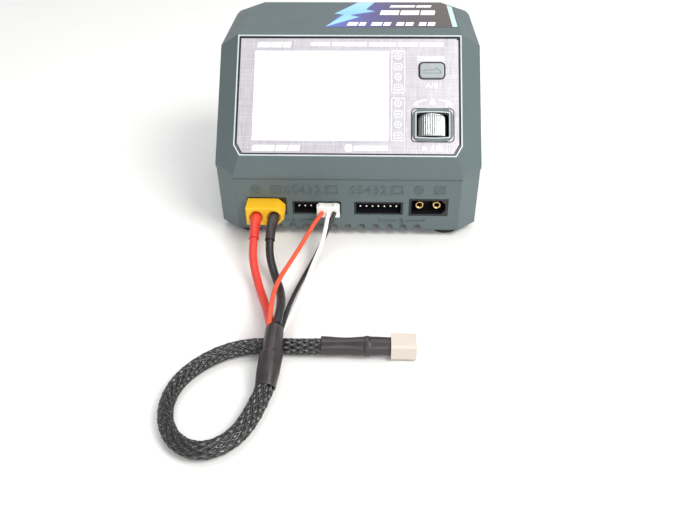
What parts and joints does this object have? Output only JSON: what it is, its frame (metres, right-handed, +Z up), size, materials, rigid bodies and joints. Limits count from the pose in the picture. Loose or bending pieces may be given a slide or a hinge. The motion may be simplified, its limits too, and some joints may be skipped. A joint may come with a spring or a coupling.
{
  "type": "balance battery charger",
  "caption": "Desktop balance charger with a sloped display panel, port key, scroll wheel, power and balance sockets, rear fan, and its plugged-in charge lead.",
  "frame": {"origin": "centre of the charger's footprint at the level its feet rest on, the lead left out", "axes": "+Z up, -Y towards the user (the socket side), +X to the user's right"},
  "size_m": [0.1111, 0.2095, 0.0729],
  "materials": {
    "case_paint": "moulded case in satin grey-green",
    "panel_film": "brushed silver film over plastic",
    "screen": "clear smoked window",
    "black_plastic": "black moulding",
    "header_plastic": "black socket and header nylon",
    "plug_yellow": "yellow nylon",
    "plug_white": "off-white nylon",
    "gold_pins": "gold plated",
    "tin_pins": "tin plated",
    "key_grey": "satin grey",
    "wheel_plastic": "dark grey gloss",
    "steel": "plated steel",
    "board_green": "glass-fibre board",
    "core_dark": "ferrite and tape",
    "can_sleeve": "sleeved can",
    "heatsink_metal": "extruded aluminium",
    "rubber_black": "soft rubber",
    "decal_dark": "printed film",
    "cable_grey": "flat cable",
    "wire_red": "silicone",
    "wire_black": "silicone",
    "wire_white": "silicone",
    "shrink_dark": "heat-shrink tube",
    "shrink_red": "heat-shrink tube",
    "braid_black": "braided sleeve"
  },
  "bodies": {
    "charger": {"ac_inlet": "black_plastic", "balance_header_a": "header_plastic", "balance_header_b": "header_plastic", "balance_pins": "tin_pins", "balance_plug": "plug_white", "balance_wire_black": "wire_black", "balance_wire_red": "wire_red", "balance_wire_white": "wire_white", "board_screws": "steel", "bottom_case": "case_paint", "braided_lead": "braid_black", "bulk_capacitors": "can_sleeve", "button_switch": "black_plastic", "buzzer": "black_plastic", "case_screws": "steel", "dc_inlet": "header_plastic", "end_heatshrink": "shrink_dark", "fan_frame": "black_plastic", "fan_screws": "steel", "fascia_panel": "panel_film", "heatsink": "heatsink_metal", "inductors": "core_dark", "inlet_pins": "tin_pins", "lcd_holder": "black_plastic", "lcd_module": "black_plastic", "lead_black": "wire_black", "lead_connector": "plug_white", "lead_red": "wire_red", "main_board": "board_green", "mosfets": "black_plastic", "plug_contacts": "gold_pins", "plug_sleeve_black": "shrink_dark", "plug_sleeve_red": "shrink_red", "power_board": "board_green", "power_pins": "gold_pins", "power_plug": "plug_yellow", "power_socket_a": "header_plastic", "power_socket_b": "header_plastic", "rear_panel": "case_paint", "ribbon_cable": "cable_grey", "rubber_feet": "rubber_black", "screen_window": "screen", "top_cover": "case_paint", "top_decal": "decal_dark", "transformer": "core_dark", "ui_board": "board_green", "ui_board_screws": "steel", "wheel_bezel": "key_grey", "wheel_guide": "black_plastic", "wheel_switch": "black_plastic", "y_heatshrink": "shrink_dark"},
    "fan": {"fan_rotor": "black_plastic"},
    "port_key": {"port_button": "key_grey"},
    "wheel_carrier": {"wheel_carriage": "wheel_plastic", "wheel_encoder": "black_plastic"},
    "wheel": {"scroll_wheel": "wheel_plastic", "wheel_axle": "steel"}
  },
  "joints": [
    {"name": "fan_spin", "type": "hinge", "parent": "charger", "child": "fan", "pos_m": [0.0165, 0.0365, 0.037], "axis": [0, 1, 0], "continuous": true},
    {"name": "port_key_press", "type": "slide", "parent": "charger", "child": "port_key", "axis": [0, 0.6891, -0.7247], "range_m": [0, 0.0006], "stiffness_N_per_m": 2500, "springref_m": -0.0001},
    {"name": "wheel_press", "type": "slide", "parent": "charger", "child": "wheel_carrier", "axis": [0, 0.6891, -0.7247], "range_m": [0, 0.0005], "stiffness_N_per_m": 3000, "springref_m": -0.0001},
    {"name": "wheel_turn", "type": "hinge", "parent": "wheel_carrier", "child": "wheel", "pos_m": [0.034, -0.0305, 0.04248], "axis": [0, 0.7247, 0.6891], "continuous": true}
  ]
}
